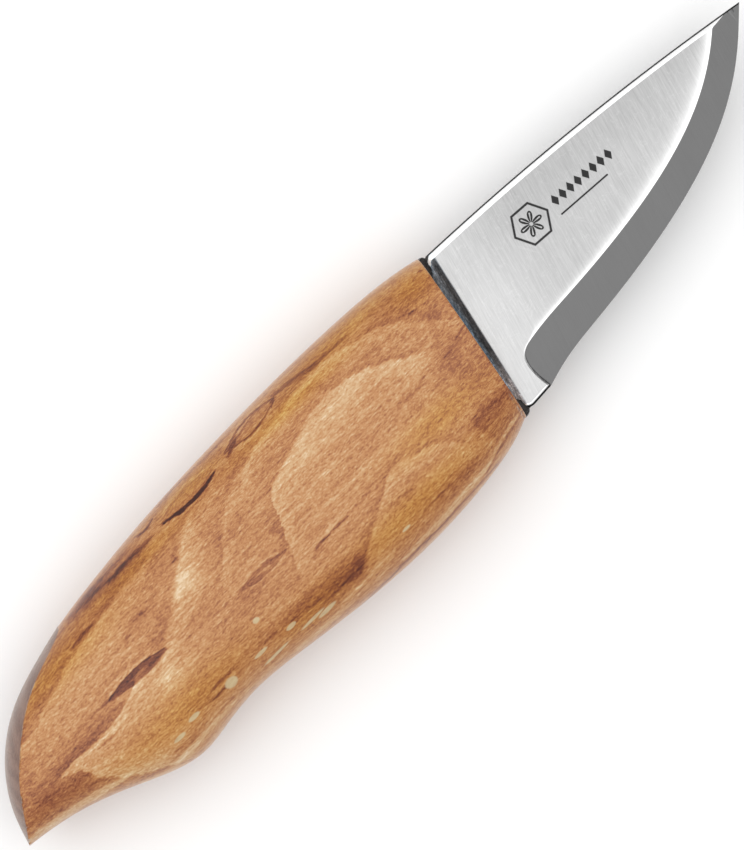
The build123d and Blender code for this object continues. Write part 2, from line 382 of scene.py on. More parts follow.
def bladeHeights(x, y, lines):
    # half thickness: the lowest of the tapered flat, the spine's chamfer, the shoulder's slope and,
    # ahead of the plunge, the grind that rises from the cutting edge
    edge, upper, heel, plunge = lines
    soft = blade["soft"]
    flat = blade["halfThickness"] - (x - handle["frontX"]) * blade["taper"]
    fromEdge, _ = fromPath(edge, x, y)
    fromSpine = -fromPath(upper, x, y)[0]
    atShoulder, atTip = blade["chamferDepth"]
    length = blade["tip"][0] - handle["frontX"]
    depth = atShoulder + (atTip - atShoulder) * (x - handle["frontX"]) / length
    chamfer = flat - depth + fromSpine * blade["chamferRise"]
    lineX, lean = blade["shoulderLine"]
    behind = (lineX - x) * math.cos(lean) + y * math.sin(lean)
    slope = flat - behind * blade["shoulderSlope"]
    ground = blade["edgeHalf"] + np.maximum(fromEdge, 0) * blade["grind"]
    ahead = -fromPath(plunge, x, y)[0]
    blank = smoothMin(smoothMin(flat, chamfer, soft["chamfer"]), slope, soft["shoulder"])
    reach = easeIn(ahead, -blade["plungeWall"], blade["plungeWall"])
    cut = smoothMin(blank, ground, soft["grind"])
    height = blank + (cut - blank) * reach
    # behind the plunge the distance to the bevel counts fourfold, which keeps the painted highlight round the
    # plunge a thin line
    crisp = np.where(ahead < 0, ahead * blade["plungeCrispness"], ahead)
    bevelGap = np.minimum((np.minimum(flat, chamfer) - ground) / blade["grind"], crisp)
    chamferGap = (flat - chamfer) / blade["chamferRise"]
    return height, reach, {"fromBevel": bevelGap, "fromChamfer": chamferGap, "fromSpine": fromSpine,
                           "behindShoulder": behind, "fromHeel": fromPath(heel, x, y)[0]}


def shareOfRows(bottom, top, lines):
    # where across the blade the rows of each station lie, 0 at the edge to 1 at the spine: one run
    # over the bevel, one over the flat and one over the chamfer
    probe = np.linspace(0, 1, 320)
    px = bottom[:, None, 0] + (top - bottom)[:, None, 0] * probe
    py = bottom[:, None, 1] + (top - bottom)[:, None, 1] * probe
    gaps = [bladeHeights(px[i], py[i], lines)[2] for i in range(len(px))]
    skip = 5  # probes at the edge itself
    bevelAt = np.array([probe[np.argmax(g["fromBevel"][skip:] < 0) + skip] for g in gaps])
    chamferAt = np.array([probe[np.argmax(g["fromChamfer"] > 0)] for g in gaps])
    ahead = bottom[:, 0] > blade["followBevelFrom"]
    flatStart = np.where(ahead, bevelAt, 0)
    first = np.argmax(ahead)
    flatStart[:first] = flatStart[first]
    flatStart = np.clip(flatStart, 0.02, 0.97)
    lastShare = 0.985
    flatEnd = np.clip(np.maximum(chamferAt, flatStart + 0.02), 0, lastShare)
    flatEnd = np.where(chamferAt < 0.5, lastShare, flatEnd)
    cosine = (1 - np.cos(np.linspace(0, math.pi, blade["flatRows"]))) / 2
    bevelRows = np.sin(np.linspace(0, math.pi / 2, blade["bevelRows"]))
    chamferRows = np.linspace(0, 1, blade["chamferRows"])
    return np.concatenate([flatStart[:, None] * bevelRows[:-1],
                           flatStart[:, None] + (flatEnd - flatStart)[:, None] * cosine[:-1],
                           flatEnd[:, None] + (1 - flatEnd)[:, None] * chamferRows], axis=1)


def closedLoops(upperSide):
    # the rows of one side, a flat wall down the spine, and the mirrored rows of the other side
    count = blade["spineRows"]
    wall = np.stack([np.ones(count), np.ones(count), np.linspace(1, -1, count + 2)[1:-1]], -1)
    return np.concatenate([upperSide, upperSide[:, -1:] * wall, upperSide[:, ::-1] * (1, 1, -1)], axis=1)


def tangLoops(rowCount):
    # a flat bar with a round rear end and notches, with rowCount rows a side like the blade's loops
    tang = blade["tang"]
    lean = math.tan(handle["frontLean"])
    steps = np.concatenate([1 - np.cos(np.linspace(0, math.pi / 2, 12)), np.linspace(1, 40, 150)[1:]])
    behind = handle["frontX"] + blade["glueLine"]
    length = behind - tang["rear"]
    x = tang["rear"] + steps / steps[-1] * length
    widths = tang["back"] + (tang["front"] - tang["back"]) * (x - tang["rear"]) / length
    rounding = np.clip(1 - (x - tang["rear"]) / (tang["back"] / 2), 0, 1)
    halfWidth = widths / 2 * np.sqrt(np.maximum(1 - rounding**2, 0))
    sides = {1: halfWidth.copy(), -1: halfWidth.copy()}
    for place, side in tang["notches"]:
        bite = np.sqrt(np.maximum(tang["notch"] ** 2 - (x - place) ** 2, 0))
        sides[side] = sides[side] - bite
    lowY, highY = tang["y"] - sides[-1], tang["y"] + sides[1]
    across = lowY[:, None] + (highY - lowY)[:, None] * np.linspace(0, 1, rowCount)
    leanIn = tang["leanIn"]
    slant = np.clip((x - behind + leanIn) / leanIn, 0, 1)[:, None] * lean
    thickness = np.full(across.shape, tang["half"])
    return closedLoops(np.stack([x[:, None] + across * slant, across, thickness], -1))


def makeBlade():
    # a closed loop across the blade at each station: up one side from edge to spine, down the other
    low, high, edge = bladeOutlines()
    corner, start = blade["lowArc"]
    ricasso = low[corner] + np.linspace(0.1, 1, 30)[:, None] * (low[corner + 1] - low[corner])
    heel = np.concatenate([low[start:corner + 1], ricasso])
    lines = (edge, high[blade["highArc"][1]:], heel, plungeLine())
    steps = stationSteps()
    tipX = blade["tip"][0]
    bottom = along(low, low[0, 0] + (tipX - low[0, 0]) * steps)
    top = along(high, high[0, 0] + (tipX - high[0, 0]) * steps)
    bottom[-1] = top[-1] = blade["tip"]
    v = shareOfRows(bottom, top, lines)
    x = bottom[:, None, 0] + (top - bottom)[:, None, 0] * v
    y = bottom[:, None, 1] + (top - bottom)[:, None, 1] * v
    stations = [bladeHeights(x[i], y[i], lines) for i in range(len(steps))]
    height = np.array([station[0] for station in stations])
    reach = np.array([station[1] for station in stations])
    # rounded corners where the sides turn into the spine's face and the ricasso's underside
    span = np.linalg.norm(top - bottom, axis=1)[:, None]
    r = blade["corner"]
    for inside, keep in (((1 - v) * span, 1), (v * span, 1 - reach)):
        d = np.clip(inside, 0, r)
        height -= np.minimum((r - np.sqrt(r**2 - (r - d) ** 2)) * keep, height * 0.6)
    height[-1] = blade["edgeHalf"]
    tang = tangLoops(v.shape[1])
    hidden = np.concatenate([tang[:1] * (1, 1, 0), tang])
    whole = np.concatenate([hidden, closedLoops(np.stack([x, y, height], -1))])
    attributes = {}
    for label in stations[0][2]:
        rows = np.array([station[2][label] for station in stations])
        wall = np.repeat(rows[:, -1:], blade["spineRows"], 1)
        rows = np.concatenate([rows, wall, rows[:, ::-1]], axis=1)
        attributes[label] = np.concatenate([np.full(hidden.shape[:2], rows[0].mean()), rows])
    return makePiece("blade_steel", [(whole, True)], attributes, sharp=60)


bladePiece = makeBlade()
print("blade:", len(bladePiece.data.polygons), "faces")


# glue squeezed out round the blade's shoulder
bead = {
    "plain": 0.13,  # how far the bead stands out along the flats
    "corners": [(13.0, 0.80, 0.60, 1.7), (-12.3, 0.95, 0.50, 1.5)],  # y, rise, spread, reach
    "around": 360,
    "across": 9,
    "halfThickness": 0.85,
    "inset": 0.15,
    "squareness": 14.0,
    "rooted": (0.2, 0.25),  # how far it reaches back into the handle, and in under the blade's sides
    "wobble": [(0.25, 7, 1.0), (0.18, 17, 0.4), (0.1, 31, 0.0)],  # size, waves round, shift
}


def makeBead():
    # a fillet carried round a rounded rectangle on the handle's front face: at each place it runs
    # from the blade's side, rise ahead of the face, to the face, spread away from the blade
    t = np.linspace(0, 2 * math.pi, bead["around"], endpoint=False)
    high, low = blade["shoulderTop"] - bead["inset"], blade["shoulderBottom"] + bead["inset"]
    c, s = rounded(t, bead["squareness"])
    y = (high + low) / 2 + s * (high - low) / 2
    z = c * bead["halfThickness"]
    normal = np.stack([np.sign(s) * np.abs(s) ** 9, np.sign(c) * np.abs(c) ** 0.35], -1)
    normal /= np.linalg.norm(normal, axis=1, keepdims=True)
    wobble = np.ones(t.shape)
    for size, waves, shift in bead["wobble"]:
        wobble = wobble + size * np.sin(t * waves + shift)
    rise, spread = bead["plain"] * wobble, bead["plain"] * 0.8 * wobble
    for place, tall, wide, reach in bead["corners"]:
        near = np.exp(-((y - place) / reach) ** 4)
        rise, spread = rise + tall * near, spread + wide * near * (0.8 + 0.2 * wobble)
    turn = np.linspace(0, math.pi / 2, bead["across"])[:, None]
    up, out = rise * np.cos(turn), spread * np.sin(turn)
    back, under = bead["rooted"]
    up = np.concatenate([up[:1] * 0 - back, up, up[:1] * 0 - back])
    out = np.concatenate([out[:1] * 0 - under, out, out[-1:]])
    yy = y + normal[:, 0] * out
    zz = z + normal[:, 1] * out
    x = handle["frontX"] + yy * math.tan(handle["frontLean"]) + up / math.cos(handle["frontLean"])
    rows = np.stack([x, yy, zz], -1)
    rows = np.concatenate([rows, rows[:1]])
    return makePiece("glue_bead", [(rows, True)])


beadPiece = makeBead()
print("glue bead:", len(beadPiece.data.polygons), "faces")


# formulas made of shader nodes

class Value:
    # a number that varies over a surface, so that a node tree can be written as a formula
    def __init__(self, tree, socket):
        self.tree, self.socket = tree, socket

    def math(self, operation, *others):
        node = self.tree.nodes.new("ShaderNodeMath")
        node.operation = operation
        for socket, value in zip(node.inputs, (self, *others)):
            plug(self.tree, socket, value)
        return Value(self.tree, node.outputs[0])

    def __add__(self, other):
        return self.math("ADD", other)

    def __sub__(self, other):
        return self.math("SUBTRACT", other)

    def __mul__(self, other):
        return self.math("MULTIPLY", other)

    def __truediv__(self, other):
        return self.math("DIVIDE", other)

    def __rsub__(self, other):
        return self.math("MULTIPLY_ADD", -1.0, other)

    def __pow__(self, other):
        return self.math("POWER", other)

    def __abs__(self):
        return self.math("ABSOLUTE")

    __radd__, __rmul__ = __add__, __mul__


def plug(tree, socket, value):
    if isinstance(value, Value):
        tree.links.new(value.socket, socket)
    else:
        socket.default_value = value


def ease(value, low, high):
    # 0 below low, 1 above high, smooth between
    node = value.tree.nodes.new("ShaderNodeMapRange")
    node.interpolation_type, node.clamp = "SMOOTHSTEP", False
    plug(value.tree, node.inputs["Value"], value)
    plug(value.tree, node.inputs["From Min"], low)
    plug(value.tree, node.inputs["From Max"], high)
    return Value(value.tree, node.outputs["Result"])


def fade(value, reach):
    # 1 at zero, falling away exponentially over reach
    return (abs(value) * -1.0 / reach).math("EXPONENT")


def lower(a, b):
    return a.math("MINIMUM", b)


def higher(a, b):
    return a.math("MAXIMUM", b)


def clamped(value, low=0.0, high=1.0):
    return lower(higher(value, low), high)


def newMaterial(name):
    material = bpy.data.materials.new(name)
    material.use_nodes = True
    tree = material.node_tree
    tree.nodes.clear()
    output = tree.nodes.new("ShaderNodeOutputMaterial")
    shader = tree.nodes.new("ShaderNodeBsdfPrincipled")
    tree.links.new(shader.outputs[0], output.inputs["Surface"])
    return material, tree, shader


def placeOf(tree, centre=(0.0, 0.0, 0.0)):
    # the point's place in mm, counted from centre
    source = tree.nodes.new("ShaderNodeTexCoord")
    mapping = tree.nodes.new("ShaderNodeMapping")
    mapping.vector_type = "POINT"
    mapping.inputs["Scale"].default_value = (1 / mm,) * 3
    mapping.inputs["Location"].default_value = [-c for c in centre]
    tree.links.new(source.outputs["Object"], mapping.inputs["Vector"])
    split = tree.nodes.new("ShaderNodeSeparateXYZ")
    tree.links.new(mapping.outputs[0], split.inputs[0])
    return [Value(tree, socket) for socket in split.outputs]


def attribute(tree, name):
    node = tree.nodes.new("ShaderNodeAttribute")
    node.attribute_name = name
    return Value(tree, node.outputs["Fac"])


def noise(x, y, z, detail=2.0, roughness=0.5, distortion=0.0):
    # fractal noise about 0, mostly within half a unit, one lump to each unit of x, y and z
    tree = x.tree
    join = tree.nodes.new("ShaderNodeCombineXYZ")
    for socket, value in zip(join.inputs, (x, y, z)):
        plug(tree, socket, value)
    node = tree.nodes.new("ShaderNodeTexNoise")
    tree.links.new(join.outputs[0], node.inputs["Vector"])
    node.inputs["Scale"].default_value = 1.0
    node.inputs["Detail"].default_value = detail
    node.inputs["Roughness"].default_value = roughness
    node.inputs["Distortion"].default_value = distortion
    return Value(tree, node.outputs["Fac"]) - 0.5


def lineThrough(x, points, margin=2.0):
    # height of a smooth line through a few (x, y) points, as a function of x
    xs, ys = [p[0] for p in points], [p[1] for p in points]
    left, right, bottom, top = min(xs), max(xs), min(ys) - margin, max(ys) + margin
    node = x.tree.nodes.new("ShaderNodeFloatCurve")
    curve = node.mapping.curves[0]
    while len(curve.points) < len(points):
        curve.points.new(0.5, 0.5)
    for point, (px, py) in zip(curve.points, sorted(points)):
        point.location = ((px - left) / (right - left), (py - bottom) / (top - bottom))
    node.mapping.update()
    plug(x.tree, node.inputs["Value"], (x - left) / (right - left))
    return Value(x.tree, node.outputs["Value"]) * (top - bottom) + bottom


def ramp(value, stops):
    node = value.tree.nodes.new("ShaderNodeValToRGB")
    elements = node.color_ramp.elements
    while len(elements) < len(stops):
        elements.new(0.5)
    for element, (place, colour) in zip(elements, stops):
        element.position = place
        element.color = (*colour, 1.0)
    plug(value.tree, node.inputs["Fac"], value)
    return node.outputs["Color"]


def mixColour(tree, share, a, b, mode="MIX"):
    node = tree.nodes.new("ShaderNodeMix")
    node.data_type, node.blend_type = "RGBA", mode
    plug(tree, node.inputs["Factor"], share)
    for socket, value in ((node.inputs[6], a), (node.inputs[7], b)):
        if isinstance(value, bpy.types.NodeSocket):
            tree.links.new(value, socket)
        else:
            socket.default_value = (*value, 1.0)
    return node.outputs[2]


def bumped(tree, shader, height, distance, strength=1.0):
    node = tree.nodes.new("ShaderNodeBump")
    node.inputs["Strength"].default_value = strength
    node.inputs["Distance"].default_value = distance
    plug(tree, node.inputs["Height"], height)
    tree.links.new(node.outputs["Normal"], shader.inputs["Normal"])


def makeGroup(name, inputs, outputs, work):
    # a node group of plain numbers: work turns its inputs, in order, into its outputs
    group = bpy.data.node_groups.new(name, "ShaderNodeTree")
    for way, names in (("INPUT", inputs), ("OUTPUT", outputs)):
        for label in names:
            group.interface.new_socket(label, in_out=way, socket_type="NodeSocketFloat")
    entry, leave = group.nodes.new("NodeGroupInput"), group.nodes.new("NodeGroupOutput")
    results = work(*[Value(group, entry.outputs[label]) for label in inputs])
    for label, value in zip(outputs, results):
        plug(group, leave.inputs[label], value)
    return group


def useGroup(group, *values):
    tree = values[0].tree
    node = tree.nodes.new("ShaderNodeGroup")
    node.node_tree = group
    for socket, value in zip(node.inputs, values):
        plug(tree, socket, value)
    results = [Value(tree, socket) for socket in node.outputs]
    return results if len(results) > 1 else results[0]


def wearWork(x, y, z, scratchSize, smudgeSize):
    u, v, w = x / scratchSize, y / scratchSize, z / scratchSize
    hair = noise(u * 0.12 + v, v * 0.12 - u * 0.9, w, 2.0, 0.6, 1.2)
    return ease(abs(hair), 0.02, 0.0), noise(x / smudgeSize, y / smudgeSize, z / smudgeSize, 3.0, 0.6)


# fine scratches and soft smudges, in the roughness of every finish on the knife
handWear = makeGroup("handWear", ("X", "Y", "Z", "Scratch Size", "Smudge Size"),
                     ("Scratches", "Smudges"), wearWork)


birch = {
    "tones": [
        (0.00, (0.040, 0.007, 0.003)), (0.12, (0.105, 0.020, 0.008)), (0.25, (0.200, 0.052, 0.018)),
        (0.38, (0.300, 0.098, 0.033)), (0.50, (0.410, 0.163, 0.052)), (0.62, (0.500, 0.236, 0.087)),
        (0.74, (0.565, 0.325, 0.150)), (0.86, (0.635, 0.430, 0.238)), (1.00, (0.740, 0.580, 0.390)),
    ],
    "base": 0.56,
    # growth rings: a boundary seen as a line, paler below it and darker above
    "rings": [
        {"line": [(-24.5, -6.0), (-22.2, -1.0), (-20.6, 2.5), (-19.4, 5.2), (-16.0, 6.7), (-12.0, 7.9),
                  (-8.0, 9.2), (-3.0, 9.8), (1.0, 9.4), (4.0, 8.4), (8.0, 6.2), (12.0, 4.0), (19.5, 1.5)],
         "pale": 0.20, "paleReach": 5.0, "dark": 0.13, "darkReach": 0.9, "soft": 0.35, "ends": (-26.5, 14.0)},
        {"line": [(-24.0, 7.0), (-22.0, 8.8), (-19.0, 10.9), (-15.0, 12.1), (-10.0, 12.7), (-4.0, 13.6),
                  (0.0, 13.5), (4.0, 12.8), (8.0, 11.9), (11.0, 10.6), (15.0, 7.4), (17.5, 4.8), (19.8, 3.0)],
         "pale": 0.17, "paleReach": 1.2, "dark": 0.08, "darkReach": 1.6, "soft": 0.4, "ends": (-26.0, 23.0)},
        {"line": [(-18.0, -12.6), (-15.0, -10.8), (-12.0, -9.0), (-9.0, -7.4), (-6.8, -6.1), (-5.0, -5.05),
                  (-3.0, -4.9), (0.0, -5.7), (3.0, -6.6), (5.0, -7.7), (7.0, -10.0), (9.0, -12.0)],
         "pale": 0.13, "paleReach": 2.4, "dark": 0.15, "darkReach": 1.0, "soft": 0.35, "ends": (-19.5, 8.5)},
        {"line": [(-52.0, -3.4), (-48.0, -1.0), (-46.0, 0.6), (-44.0, 2.0), (-41.3, 3.5), (-39.8, 4.8),
                  (-38.0, 6.3), (-36.0, 7.8), (-34.0, 9.5), (-31.0, 11.3)],
         "pale": 0.20, "paleReach": 2.6, "dark": 0.09, "darkReach": 2.4, "soft": 0.9, "ends": (-52.0, -29.0)},
        {"line": [(-75.0, 3.6), (-72.0, 5.2), (-69.0, 5.9), (-66.0, 6.4), (-62.0, 7.6), (-59.0, 8.6),
                  (-55.0, 9.4), (-50.0, 10.2), (-44.0, 10.9), (-36.0, 11.6)],
         "pale": 0.12, "paleReach": 2.4, "dark": 0.10, "darkReach": 3.5, "soft": 0.35, "ends": (-76.0, -37.0)},
        {"line": [(-36.0, -1.5), (-33.0, 1.6), (-30.0, 4.5), (-27.5, 7.0), (-24.0, 9.4), (-20.0, 11.2)],
         "pale": 0.12, "paleReach": 1.8, "dark": 0.08, "darkReach": 1.0, "soft": 0.6, "ends": (-35.0, -18.0)},
        {"line": [(6.0, -2.5), (9.0, -0.5), (12.0, 0.9), (15.0, 1.7), (19.0, 2.2)],
         "pale": -0.09, "paleReach": 2.5, "dark": 0.02, "darkReach": 1.0, "soft": 0.5, "ends": (6.5, 19.5)},
        {"line": [(-72.0, -2.5), (-69.0, -2.25), (-64.0, -2.35), (-60.0, -2.3), (-57.0, -1.7), (-54.0, -0.6)],
         "pale": 0.24, "paleReach": 1.0, "dark": 0.15, "darkReach": 1.4, "soft": 0.18, "ends": (-73.5, -50.0)},
    ],
    # the same for a boundary across the grain, as (y, x) points, paler towards the blade
    "crossRings": [
        {"line": [(-13.5, -57.5), (-12.0, -60.0), (-10.0, -63.2), (-8.0, -65.6), (-6.5, -67.0),
                  (-4.5, -67.8), (-3.6, -68.8), (-2.4, -71.2)],
         "pale": 0.22, "paleReach": 6.0, "dark": 0.08, "darkReach": 4.0, "soft": 0.3, "ends": (-15.5, -1.6)},
        {"line": [(-13.0, 9.3), (-11.0, 9.9), (-9.0, 9.2), (-7.6, 10.6)],
         "pale": -0.17, "paleReach": 5.5, "dark": 0.0, "darkReach": 2.0, "soft": 0.8, "ends": (-13.0, -7.2)},
    ],
    # broad soft patches: x, y, reach along, reach across, lighter or darker
    "patches": [
        (-10.0, 5.6, 5.0, 1.5, 0.08), (-2.0, 7.5, 7.0, 2.0, 0.05), (-3.0, -2.6, 7.0, 1.3, 0.11),
        (-37.3, 5.4, 3.0, 2.0, 0.22), (-60.0, 4.5, 9.0, 2.6, 0.06), (-51.0, -2.6, 5.0, 2.2, 0.17),
        (-48.0, 13.3, 5.0, 1.0, -0.22), (-41.0, 13.2, 4.0, 0.7, -0.22), (-43.0, 14.3, 3.0, 0.3, -0.2),
        (-21.0, -11.3, 7.0, 1.6, -0.26), (-27.0, -9.2, 6.0, 0.9, -0.12), (-17.5, -12.4, 2.0, 1.2, -0.16),
        (12.0, -8.8, 4.0, 0.9, -0.13), (4.0, -13.0, 8.0, 0.9, -0.17), (-75.0, -3.5, 7.0, 2.6, -0.15),
        (-72.0, -6.0, 5.0, 2.2, -0.10), (-63.0, -1.2, 6.0, 0.8, -0.10), (14.5, -1.5, 3.0, 4.0, -0.08),
        (15.5, 11.0, 5.0, 2.4, -0.13), (16.5, 6.6, 2.0, 1.0, -0.12), (6.0, 14.0, 6.0, 0.8, 0.06),
        (-43.5, 3.5, 3.0, 3.0, -0.05), (-32.0, -3.0, 3.5, 1.3, -0.12), (-33.0, -9.9, 9.0, 1.2, -0.08),
        (-20.0, -7.0, 8.0, 2.0, -0.04), (-48.0, -9.0, 9.0, 1.2, -0.07), (-54.0, -12.0, 4.0, 0.7, -0.14),
        (-60.0, 10.8, 6.0, 0.6, -0.08), (-3.0, -8.5, 6.0, 2.0, -0.08), (-22.4, 1.2, 1.0, 2.6, -0.10),
        (17.8, -9.0, 2.5, 3.0, -0.12),
        (-76.0, 0.5, 2.0, 3.0, -0.08), (-46.0, 6.2, 1.6, 0.5, -0.12), (-36.2, 8.4, 1.2, 0.3, -0.12),
        (5.0, 1.1, 2.6, 0.42, -0.20), (9.0, 1.4, 1.6, 0.3, -0.12), (-27.2, 4.95, 3.0, 0.55, -0.17),
        (-22.3, 4.8, 2.0, 0.35, 0.13), (-26.0, 4.85, 0.7, 0.16, 0.32), (-35.0, 13.9, 4.0, 0.4, 0.05),
    ],
    # where the wood is yellower: x, y, reach along, reach across
    "golden": [
        (-62.0, 9.5, 12.0, 2.4), (-42.0, 12.0, 11.0, 1.2), (-27.0, 14.6, 7.0, 1.2), (-8.0, 12.6, 12.0, 1.3),
        (4.0, 14.6, 12.0, 1.4), (-6.0, -11.0, 14.0, 2.4), (-50.0, -8.0, 12.0, 3.0), (17.0, 12.0, 4.0, 3.0),
        (-24.0, -11.0, 10.0, 2.0), (6.0, -4.5, 9.0, 2.5),
    ],
    # eyes round small knots: x, y, half length, half opening, rise, line above, line below, fill, core
    "eyes": [
        (-52.0, 0.28, 6.6, 0.84, -0.035, 0.60, 0.42, 0.40, 0.18),
        (-28.0, -1.95, 4.6, 0.72, -0.06, 0.34, 0.30, 0.15, 0.22),
        (-28.4, 13.9, 6.0, 1.05, 0.03, 0.16, 0.30, 0.02, 0.0),
        (-14.3, 14.7, 6.0, 1.10, 0.06, 0.44, 0.40, 0.05, 0.05),
        (-13.0, 14.85, 4.4, 0.65, 0.05, 0.30, 0.10, 0.0, 0.0),
        (-16.9, -5.15, 3.6, 0.22, 0.0, 0.20, 0.12, 0.0, 0.05),
    ],
    # dark lines of bark and pitch: x, y, half length, rise, bow, half width, depth
    "streaks": [
        (-28.3, 13.68, 6.0, 0.0, -0.92, 0.34, 0.78), (-5.0, 14.95, 5.0, -0.15, 0.05, 0.26, 0.30),
        (0.5, 14.2, 6.0, -0.05, 0.0, 0.28, 0.24), (-25.0, 15.98, 9.0, 0.0, 0.12, 0.14, 0.30),
        (-53.8, 10.15, 3.2, 0.10, 0.10, 0.26, 0.26), (17.6, 2.3, 1.8, 0.22, 0.10, 0.20, 0.30),
        (14.6, 1.5, 2.6, 0.10, -0.1, 0.14, 0.20), (9.2, 1.5, 1.2, 0.12, 0.0, 0.14, 0.14),
        (-49.5, 13.4, 5.5, -0.02, 0.1, 0.34, 0.18), (-49.0, 13.95, 3.8, 0.08, 0.1, 0.26, 0.22),
        (-41.0, 13.1, 5.5, 0.02, 0.15, 0.34, 0.20), (-36.4, 15.2, 2.1, 0.03, -0.55, 0.20, 0.46),
        (-45.5, -10.45, 1.9, -0.02, 0.0, 0.20, 0.46), (-48.5, -10.05, 2.8, -0.03, 0.0, 0.10, 0.24),
        (-44.0, -9.15, 2.6, 0.0, 0.0, 0.26, 0.24), (-34.4, -9.75, 1.5, 0.0, 0.0, 0.24, 0.24),
        (-28.6, -10.4, 1.8, -0.04, 0.0, 0.10, 0.30), (-18.7, -5.2, 1.9, 0.05, 0.05, 0.24, 0.44),
        (-15.0, -5.12, 1.5, -0.10, 0.05, 0.22, 0.36), (-18.4, 14.25, 1.7, 0.35, 0.1, 0.36, 0.40),
        (-9.4, 14.7, 0.9, 0.55, 0.1, 0.30, 0.46), (-11.0, 15.3, 3.0, -0.12, 0.2, 0.16, 0.34),
        (-31.0, -1.75, 2.0, 0.03, 0.1, 0.24, 0.26), (-24.2, -1.95, 1.2, -0.2, 0.0, 0.16, 0.34),
        (-62.0, -3.5, 2.4, -0.05, 0.0, 0.20, 0.24), (-59.5, 0.6, 2.4, -0.05, 0.1, 0.24, 0.16),
        (-70.0, 5.3, 3.0, 0.05, 0.1, 0.16, 0.22), (-70.5, -2.3, 1.4, 0.02, 0.0, 0.20, 0.20),
        (14.4, 9.62, 0.5, 0.0, 0.0, 0.2, 0.34), (19.9, 13.1, 0.45, -0.1, 0.0, 0.2, 0.34),
        (-45.2, 6.3, 0.6, -0.2, 0.0, 0.2, 0.26), (-36.1, 8.3, 0.6, 0.0, 0.0, 0.14, 0.20),
        (-27.0, 15.9, 8.0, 0.0, 0.1, 0.1, 0.2), (0.5, -11.9, 5.0, 0.0, 0.1, 0.10, 0.24),
        (-1.0, -12.75, 4.5, 0.0, 0.1, 0.12, 0.22), (-21.0, -11.9, 6.0, 0.0, 0.15, 0.18, 0.16),
        (-6.5, -15.7, 17.5, 0.02, -0.38, 0.11, 0.42), (11.0, -13.9, 6.0, 0.26, 0.15, 0.14, 0.36),
        (-56.0, -12.4, 4.0, 0.03, -0.2, 0.22, 0.16), (4.5, -9.35, 1.6, 0.1, 0.1, 0.14, 0.16),
    ],
    # pale spots: x, y, half length, half width
    "spots": [
        (-34.0, -6.45, 0.60, 0.42), (-50.7, -10.1, 1.10, 0.38), (-43.2, -10.4, 1.15, 0.75),
        (-54.4, -10.8, 1.15, 0.34), (-37.0, -10.4, 1.3, 0.28), (-31.0, -10.75, 0.95, 0.34),
        (-35.5, -12.15, 2.6, 0.20), (-28.0, -12.3, 2.4, 0.22), (-25.5, -12.85, 1.8, 0.32),
        (-8.65, -12.6, 0.80, 0.22),
    ],
    # pale lines: x, y, half length, rise, bow, half width, strength; the first, along the beak's lower edge,
    # is a painted highlight on the rim that faces sideways there
    "paleLinesAndRimHighlight": [
        (-73.0, -7.75, 10.5, -0.20, 0.55, 0.62, 2.0), (-60.5, -13.1, 4.5, -0.35, 0.2, 0.50, 1.6),
        (-53.0, -13.0, 9.5, 0.03, -0.2, 0.34, 1.5), (-42.0, -12.9, 8.0, -0.03, 0.0, 0.22, 0.8),
        (-26.0, -14.3, 8.0, -0.04, -0.15, 0.42, 1.1), (-17.5, -13.8, 6.0, 0.0, 0.05, 0.24, 1.3),
        (-2.0, -14.95, 12.0, 0.06, -0.35, 0.40, 1.3), (12.0, -13.25, 4.5, 0.22, 0.15, 0.30, 1.3),
        (-53.0, 1.45, 6.5, -0.10, 0.25, 0.16, 1.3), (-53.0, -0.72, 5.0, 0.0, -0.1, 0.20, 0.8),
        (-17.5, -4.62, 2.6, 0.05, 0.1, 0.10, 0.9), (-27.5, -1.95, 1.6, -0.1, 0.0, 0.10, 1.2),
        (-40.5, 1.3, 3.0, 0.05, 0.0, 0.24, 0.9), (-63.0, -2.95, 6.0, -0.03, 0.1, 0.16, 0.9),
        (-55.0, 10.8, 2.4, 0.06, 0.0, 0.12, 0.9), (17.9, -1.3, 0.6, 2.2, 0.0, 0.30, 0.9),
    ],
    "yellowing": (1.0, 0.985, 0.585),
    "spotColour": (0.56, 0.44, 0.25),
    "lineSoftness": {"cream": 0.20, "dark": 0.16},
    # end grain on the butt: pith's y and z, rings per mm, and the colours between which it runs
    "pith": (-26.0, -19.0),
    "yearRings": 3.4,
    "buttTones": [(0.2, (0.150, 0.078, 0.056)), (0.8, (0.260, 0.152, 0.112))],
    "creaseColour": (0.14, 0.045, 0.02),
}


def streakWork(x, y, cx, cy, half, rise, bow, width, soft):
    # a tapered line nearly along the grain: full at its middle, nothing past its ends
    u = (x - cx) / half
    body = clamped(1.0 - u * u)
    middle = u * rise * half + body * bow + cy
    return [ease((body ** 0.6 * width - abs(y - middle)) / soft, -1.0, 1.0) * ease(body, 0.0, 0.3)]


def eyeWork(x, y, cx, cy, half, opening, rise, above, below, fill, core):
    # a lens with a dark line above and below, a darker fill round a pale core, and a paler skin outside
    u = (x - cx) / half
    body = clamped(1.0 - u * u)
    v = y - cy - u * rise * half
    shape = body ** 1.4 * opening
    edge = abs(v) - shape
    inside = ease(edge, 0.10, -0.16)
    line = ease(abs(edge), 0.26, 0.02) * (ease(v, -0.06, 0.06) * (above - below) + below)
    heart = ease(u * u * 7.0 + v * v / (opening * opening * 0.08), 1.2, 0.4) * core
    skin = ease(edge, 0.9, 0.2) * (1.0 - inside)
    return higher(line, inside * fill - heart) * ease(body, 0.02, 0.3), skin * ease(body, 0.1, 0.6)


def ringWork(x, away, pale, paleReach, dark, darkReach, soft, middle, half):
    # paler just inside a ring's boundary, darker just outside, both fading away from it
    inside = ease(away / soft, 1.0, -1.0)
    shown = ease(abs(x - middle) / half, 1.0, 0.72)
    return [(inside * fade(away, paleReach) * pale - (1.0 - inside) * fade(away, darkReach) * dark) * shown]


